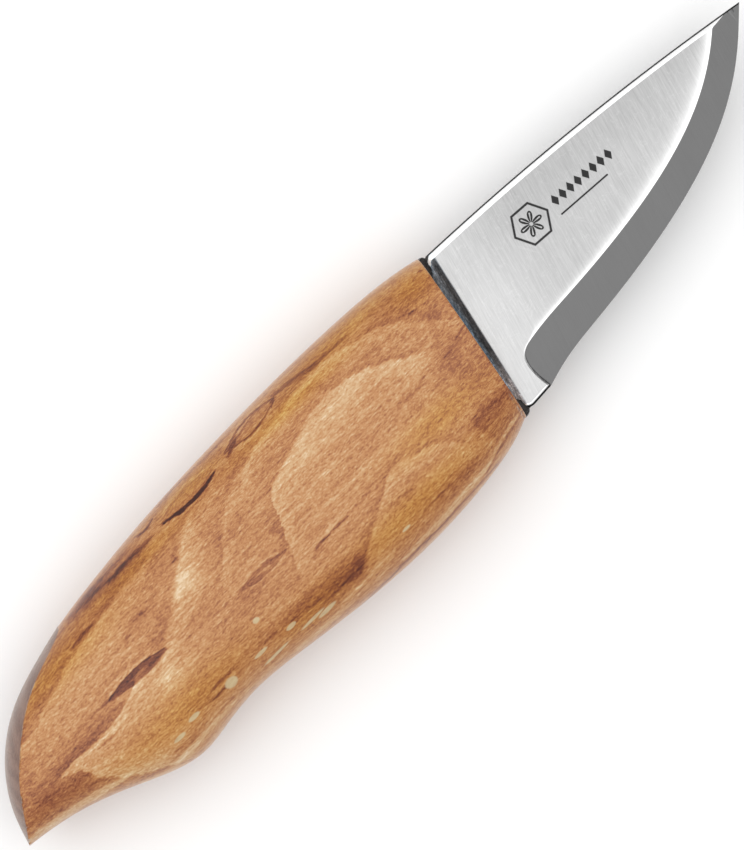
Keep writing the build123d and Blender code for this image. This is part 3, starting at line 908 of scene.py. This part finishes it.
def patchWork(x, y, cx, cy, rx, ry):
    # an oval that fades softly from its middle, and the same oval as a spot with a clear edge
    u, v = (x - cx) / rx, (y - cy) / ry
    square = u * u + v * v
    return (square * -1.0).math("EXPONENT"), ease(square, 1.3, 0.6)


streakGroup = makeGroup(
    "grainStreak", ("X", "Y", "Centre X", "Centre Y", "Half Length", "Rise", "Bow", "Half Width", "Softness"),
    ("Streak",), streakWork)
eyeGroup = makeGroup(
    "grainEye", ("X", "Y", "Centre X", "Centre Y", "Half Length", "Opening", "Rise", "Line Above",
                 "Line Below", "Fill", "Core"), ("Shade", "Skin"), eyeWork)
ringGroup = makeGroup(
    "grainRing", ("X", "Away", "Pale", "Pale Reach", "Dark", "Dark Reach", "Softness", "Middle",
                  "Half Length"), ("Tone",), ringWork)
patchGroup = makeGroup(
    "grainPatch", ("X", "Y", "Centre X", "Centre Y", "Reach X", "Reach Y"), ("Soft", "Spot"), patchWork)


def ringTone(x, away, ring):
    left, right = ring["ends"]
    return useGroup(ringGroup, x, away, ring["pale"], ring["paleReach"], ring["dark"], ring["darkReach"],
                    ring["soft"], (left + right) / 2, (right - left) / 2)


def highest(values):
    # taken one at a time as they are made, so that few values wait at once when the shader runs
    result = None
    for value in values:
        result = value if result is None else higher(result, value)
    return result


def makeBirch():
    material, tree, shader = newMaterial("birch_oiled")
    px, py, pz = placeOf(tree, (0.0, 0.0, midHeight))
    # below the middle plane the figure leans away, so the two faces differ as in a real block
    under = lower(pz, 0.0)
    drift = noise(px * 0.06, py * 0.13, pz * 0.08, 2.0)
    ripple = noise(px * 0.35, py * 1.1, pz * 0.6, 3.0, 0.65)
    fibre = noise(px * 0.25, py * 2.8, pz * 2.8, 2.0, 0.6)
    x = px + under * 1.3 + drift * 0.8 + ripple * 1.2 + fibre * 1.7
    y = py + under * 0.55 + drift * 0.3 + ripple * 0.55
    tone = birch["base"] + noise(px * 0.06, py * 0.22, pz * 0.15, 3.0, 0.6) * 0.22
    for ring in birch["rings"]:
        tone = tone + ringTone(x, y - lineThrough(x, ring["line"]), ring)
    for ring in birch["crossRings"]:
        tone = tone + ringTone(y, lineThrough(y, ring["line"]) - x, ring)
    for cx, cy, rx, ry, amount in birch["patches"]:
        tone = tone + useGroup(patchGroup, x, y, cx, cy, rx, ry)[0] * amount
    # grain: long soft bands, threads, short dashes and a fine weave of pores
    bands = noise(px * 0.09, y * 0.9, pz * 0.9, 3.0, 0.6)
    threads = noise(px * 0.16, y * 2.0, pz * 2.0, 2.0, 0.6)
    dashes = noise(px * 0.9, y * 3.3, pz * 3.3, 3.0, 0.75)
    pores = noise(px * 2.4, y * 6.0, pz * 6.0, 2.0, 0.6)
    tone = tone + bands * 0.24 + threads * 0.36 + dashes * 0.85 + pores * 0.55
    yy = y + ripple * 0.15
    creamSoft, darkSoft = birch["lineSoftness"]["cream"], birch["lineSoftness"]["dark"]
    # the pale lines are figure, except the first, a painted highlight along the beak's lower edge
    paleSkinsAndRimHighlight = highest(useGroup(streakGroup, x, yy, *place[:-1], creamSoft) * place[-1]
                    for place in birch["paleLinesAndRimHighlight"])
    marks = highest(useGroup(streakGroup, x, yy, *place[:-1], darkSoft) * place[-1]
                    for place in birch["streaks"])
    for place in birch["eyes"]:
        shade, skin = useGroup(eyeGroup, x, yy, *place)
        marks, paleSkinsAndRimHighlight = higher(marks, shade), higher(paleSkinsAndRimHighlight, skin)
    tone = clamped(tone + paleSkinsAndRimHighlight * 0.13, 0.16, 1.0) - marks * (0.85 + dashes * 1.2)
    colour = ramp(clamped(tone), birch["tones"])
    golden = highest(useGroup(patchGroup, x, y, *place)[0] for place in birch["golden"])
    colour = mixColour(tree, golden, colour, birch["yellowing"], "MULTIPLY")
    spots = highest(useGroup(patchGroup, px, py, *place)[1] for place in birch["spots"])
    colour = mixColour(tree, spots * (0.85 + dashes), colour, birch["spotColour"])
    # end grain on the butt, darker at the crease
    endGrain = attribute(tree, "endGrain")
    pits = noise(px * 2.2, py * 2.2, pz * 3.2, 3.0, 0.7)
    pithY, pithZ = birch["pith"]
    fromPith = ((py - pithY) * (py - pithY) + (pz - pithZ) * (pz - pithZ)).math("SQRT")
    wander = noise(py * 0.16, pz * 0.16, px * 0.1, 2.0) * 9.0
    years = (fromPith * birch["yearRings"] + wander).math("SINE")
    shaded = ramp(clamped(0.5 + pits * 1.1 + years * 0.16), birch["buttTones"])
    colour = mixColour(tree, ease(endGrain, 0.3, 0.9), colour, shaded)
    crease = ease(abs(endGrain - 0.5), 0.5, 0.0) * 0.7
    colour = mixColour(tree, crease, colour, birch["creaseColour"])
    tree.links.new(colour, shader.inputs["Base Color"])
    scratches, smudges = useGroup(handWear, px, py, pz, 3.0, 9.0)
    plug(tree, shader.inputs["Roughness"],
         clamped(0.44 - bands * 0.10 + dashes * 0.2 + smudges * 0.16 - scratches * 0.05, 0.25, 0.7))
    shader.inputs["Specular IOR Level"].default_value = 0.35
    shader.inputs["Coat Weight"].default_value = 0.12
    shader.inputs["Coat Roughness"].default_value = 0.3
    shader.inputs["Sheen Weight"].default_value = 0.5
    shader.inputs["Sheen Roughness"].default_value = 0.28
    shader.inputs["Sheen Tint"].default_value = (1.0, 0.93, 0.86, 1.0)
    bumped(tree, shader, dashes * 0.6 + pores * 0.7 + pits * endGrain * 0.8, 0.00006)
    return material


steel = {
    # the chamfer's near-white grey is a painted highlight of the facet catching the light; the bevel's dark
    # grey is partly its coarser grind and partly painted shade
    "flat": 0.345, "nearHandle": 0.43, "bevel": 0.165, "chamfer": 0.98,
    "paintedHighlight": 0.92, "paintedHighlightReach": (0.28, 0.75),  # painted highlight along the bevel's edge, with its reach near the handle and at the belly
    # a near-black painted shade line along the spine, where its rounded corner turns away from the light, and
    # its width in mm
    "paintedShadeLine": 0.02, "paintedShadeLineWidth": 0.24,
    "shoulder": {"base": 0.095, "deep": 0.15, "heel": 0.34, "streakDeep": 0.18, "streakHeel": 0.42},
    "heelHighlightAndShade": {"bright": (0.62, 0.52), "dark": (0.34, 0.28)},  # a painted highlight line and a painted shade line, given in mm from the heel's edge
    "grindLean": math.radians(74.0),
    "mark": {"centre": (36.8, 6.3), "turn": math.radians(-4.0), "radius": 2.75, "line": 0.17, "petal": 2.0,
             "border": (4.3, 16.3), "pitch": 1.5, "diamond": (0.60, 0.95), "rule": -1.9, "ruleEnd": 13.6},
}


def etchedMark(px, py, pz):
    # a hexagon with a six-petal rosette, then a border of diamonds over a plain rule
    mark = steel["mark"]
    c, s = math.cos(mark["turn"]), math.sin(mark["turn"])
    dx, dy = px - mark["centre"][0], py - mark["centre"][1]
    u, v = dx * c + dy * s, dy * c - dx * s
    third = math.sqrt(3) / 2
    hexagon = higher(higher(abs(v), abs(u * third + v * 0.5)), abs(u * third - v * 0.5))
    ring = ease(abs(hexagon - mark["radius"]), mark["line"] + 0.06, mark["line"] - 0.06)
    radius = (u * u + v * v).math("SQRT")
    petal = (v.math("ARCTAN2", u) * 3.0).math("COSINE")
    rosette = ease(abs(petal) ** 0.8 * mark["petal"] - radius, -0.06, 0.06) * ease(radius, 0.25, 0.35)
    vein = ease(petal * petal, 0.93, 0.97) * ease(radius, 1.75, 1.65)
    start, stop = mark["border"]
    width, tall = mark["diamond"]
    cell = abs(((u - start) / mark["pitch"]).math("FRACT") - 0.5) * mark["pitch"]
    diamond = ease(cell / width + abs(v - 0.35) / tall, 1.08, 0.92)
    diamond = diamond * ease(u, start - 0.02, start + 0.02) * ease(u, stop + 0.02, stop - 0.02)
    rule = ease(abs(v - mark["rule"]), 0.17, 0.09) * ease(u, start, start + 0.08)
    rule = rule * ease(u, mark["ruleEnd"], mark["ruleEnd"] - 0.08)
    return higher(higher(ring, rosette * (1.0 - vein)), higher(diamond, rule)) * ease(pz, 0.0, 0.2)


def makeSteel():
    material, tree, shader = newMaterial("blade_ground_steel")
    px, py, pz = placeOf(tree, (0.0, 0.0, midHeight))
    bevelGap, chamferGap = attribute(tree, "fromBevel"), attribute(tree, "fromChamfer")
    fromSpine, behind = attribute(tree, "fromSpine"), attribute(tree, "behindShoulder")
    fromHeel = attribute(tree, "fromHeel")
    c, s = math.cos(steel["grindLean"]), math.sin(steel["grindLean"])
    alongLines, acrossLines = px * c + py * s, py * c - px * s
    lines = noise(alongLines * 0.18, acrossLines * 3.6, pz * 0.5, 3.0, 0.7)
    fine = noise(alongLines * 0.35, acrossLines * 9.0, pz * 0.5, 2.0, 0.6)
    cloud = noise(px * 0.1, py * 0.1, pz * 0.1, 2.0)
    scratches, smudges = useGroup(handWear, px, py, pz, 2.2, 7.0)
    onBevel = ease(bevelGap, -0.04, 0.06)
    onChamfer = ease(chamferGap, -0.06, 0.06) * (1.0 - onBevel)
    onShoulder = ease(behind + lines * 0.3, -0.12, 0.12)
    nearHandle = ease(px - py * 0.18, 36.0, 21.0)
    grey = nearHandle * (steel["nearHandle"] - steel["flat"]) + steel["flat"]
    grey = grey + ease(py, 10.0, 2.0) * 0.04 - 0.025
    grey = grey + lines * 0.17 + fine * 0.12 + cloud * 0.03 + scratches * 0.03
    # painted highlight: a bright line along the bevel's edge and round the plunge, where the rounded edge
    # catches the light
    nearReach, farReach = steel["paintedHighlightReach"]
    paintedHighlightReach = ease(px, 26.0, 62.0) * (farReach - nearReach) + nearReach
    paintedHighlight = fade(bevelGap, paintedHighlightReach) * ease(bevelGap, 0.2, 0.0)
    grey = grey + paintedHighlight * (steel["paintedHighlight"] - steel["flat"])
    # painted highlight: the chamfer near-white
    grey = grey + (steel["chamfer"] - grey) * onChamfer
    # the bevel: dark grey, partly its coarser grind and partly painted shade
    grey = grey + (fine * 0.008 + smudges * 0.006 + steel["bevel"] - grey) * onBevel
    mark = etchedMark(px, py, pz)
    grey = grey - grey * mark * 0.90
    # shoulder: charcoal beside the flat, blue-grey and scratched beside the handle, lighter at the heel
    shoulder = steel["shoulder"]
    scuffs = noise(alongLines * 0.5, acrossLines * 2.6, pz, 4.0, 0.75)
    grit = noise(px * 3.0, py * 3.0, pz * 3.0, 2.0, 0.7)
    depth = ease(behind + scuffs * 0.8, 0.5, 1.3)
    heel = ease(py, -2.0, -11.0)
    band = depth * shoulder["deep"] + heel * shoulder["heel"] + shoulder["base"]
    band = band * (1.0 + scuffs * 2.6 + grit * 1.6)
    streaks = heel * shoulder["streakHeel"] + depth * shoulder["streakDeep"]
    band = band + ease(scuffs + grit * 0.4, 0.02, 0.16) * streaks
    grey = grey + (band - grey) * (onShoulder * (1.0 - onChamfer))
    # painted shade: a near-black line along the spine's rounded corner
    width = steel["paintedShadeLineWidth"]
    grey = grey + (steel["paintedShadeLine"] - grey) * ease(fromSpine, width + 0.05, width - 0.05)
    # painted highlight and painted shade: a bright line and a dark line along the heel's rounded edge
    heelEdge = (1.0 - onBevel) * ease(px, 22.2, 21.8) * ease(py, -11.7, -12.3)
    heelHighlightAndShade = steel["heelHighlightAndShade"]
    grey = grey + (steel["chamfer"] - grey) * (ease(fromHeel, *heelHighlightAndShade["bright"]) * heelEdge)
    grey = grey + (steel["paintedShadeLine"] - grey) * (ease(fromHeel, *heelHighlightAndShade["dark"]) * heelEdge)
    grey = clamped(grey, 0.01, 0.98)
    blue = onShoulder * (depth * 0.3 + 0.22) * (1.0 - heel * 0.4) + 1.0
    join = tree.nodes.new("ShaderNodeCombineColor")
    for socket, value in zip(join.inputs, (grey, grey * (blue * 0.5 + 0.5), grey * blue)):
        plug(tree, socket, value)
    tree.links.new(join.outputs[0], shader.inputs["Base Color"])
    shader.inputs["Metallic"].default_value = 1.0
    roughness = 0.34 + lines * 0.12 + onBevel * 0.12 + onShoulder * 0.1 + smudges * 0.08 + mark * 0.2
    plug(tree, shader.inputs["Roughness"], clamped(roughness, 0.2, 0.75))
    bumped(tree, shader, lines + fine * 0.6 - mark * 2.0, 0.00001)
    return material


epoxy = {
    "tones": [(0.2, (0.008, 0.007, 0.007)), (0.9, (0.05, 0.045, 0.04))],
    "specular": 0.25,
    "bump": 0.00012,
}


def makeEpoxy():
    material, tree, shader = newMaterial("glue_dark_epoxy")
    px, py, pz = placeOf(tree, (0.0, 0.0, midHeight))
    lumps = noise(px * 1.4, py * 1.4, pz * 1.4, 3.0, 0.6)
    dust = noise(px * 5.0, py * 5.0, pz * 5.0, 2.0, 0.6)
    tree.links.new(ramp(clamped(0.4 + lumps + dust * 0.5), epoxy["tones"]), shader.inputs["Base Color"])
    scratches, smudges = useGroup(handWear, px, py, pz, 1.2, 3.0)
    plug(tree, shader.inputs["Roughness"],
         clamped(0.28 + dust * 0.4 + smudges * 0.3 + scratches * 0.1, 0.1, 0.8))
    shader.inputs["Specular IOR Level"].default_value = epoxy["specular"]
    bumped(tree, shader, lumps + dust * 0.3, epoxy["bump"])
    return material


birchMaterial, steelMaterial, epoxyMaterial = makeBirch(), makeSteel(), makeEpoxy()
print("materials made")

handlePiece.data.materials.append(birchMaterial)
edgeBevel = handlePiece.modifiers.new("softEdges", "BEVEL")
edgeBevel.width, edgeBevel.segments = handle["creaseBevel"] * mm, 3
edgeBevel.limit_method, edgeBevel.angle_limit = "ANGLE", math.radians(14)
bladePiece.data.materials.append(steelMaterial)
beadPiece.data.materials.append(epoxyMaterial)
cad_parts["adhesive"].data.materials.clear()
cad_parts["adhesive"].data.materials.append(epoxyMaterial)

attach(handlePiece, "root")
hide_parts("handle")
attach(bladePiece, "root")
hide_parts("blade")
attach(beadPiece, "root")


# floor, light and camera
studio = {
    "floorSize": 3.0,
    "floorTones": [(0.0, (0.94, 0.94, 0.94)), (1.0, (0.96, 0.96, 0.96))],
    "world": 0.5,
    "key": {"place": (-0.1, 0.2, 1.5), "size": 3.0, "power": 30.0},
    "lens": 200.0,
    "longSide": 127.7,  # mm across the long side of the picture, at the middle plane
    "centre": (-1.43, 1.86),
    "roll": math.radians(-45.0),
}


def makeFloor():
    material, tree, shader = newMaterial("floor_white")
    px, py, pz = placeOf(tree)
    mottle = noise(px * 0.01, py * 0.01, pz * 0.01, 2.0)
    tree.links.new(ramp(clamped(mottle + 0.5), studio["floorTones"]), shader.inputs["Base Color"])
    shader.inputs["Roughness"].default_value = 0.8
    return material


def areaLight(name, place, size, power):
    data = bpy.data.lights.new(name, "AREA")
    data.shape, data.size, data.energy = "DISK", size, power
    light = bpy.data.objects.new(name, data)
    light.location = place
    direction = -light.location.normalized()
    light.rotation_euler = direction.to_track_quat("-Z", "Y").to_euler()
    scene.collection.objects.link(light)


def makeStudio():
    size = studio["floorSize"] / 2
    mesh = bpy.data.meshes.new("floor")
    corners = [(-size, -size, 0), (size, -size, 0), (size, size, 0), (-size, size, 0)]
    mesh.from_pydata(corners, [], [(0, 1, 2, 3)])
    floor = bpy.data.objects.new("floor", mesh)
    mesh.materials.append(makeFloor())
    scene.collection.objects.link(floor)
    world = bpy.data.worlds.new("studio")
    world.use_nodes = True
    world.node_tree.nodes["Background"].inputs["Color"].default_value = (1.0, 1.0, 1.0, 1.0)
    world.node_tree.nodes["Background"].inputs["Strength"].default_value = studio["world"]
    scene.world = world
    areaLight("key", **studio["key"])
    scene.view_settings.view_transform = "Standard"
    data = bpy.data.cameras.new("camera")
    data.lens, data.sensor_width = studio["lens"], 36.0
    distance = studio["lens"] / data.sensor_width * studio["longSide"] * mm
    data.clip_start, data.clip_end = distance * 0.1, distance * 10
    camera = bpy.data.objects.new("camera", data)
    camera.location = (studio["centre"][0] * mm, studio["centre"][1] * mm, midHeight * mm + distance)
    camera.rotation_euler = (0.0, 0.0, studio["roll"])
    scene.collection.objects.link(camera)
    scene.camera = camera


makeStudio()
print("studio ready")
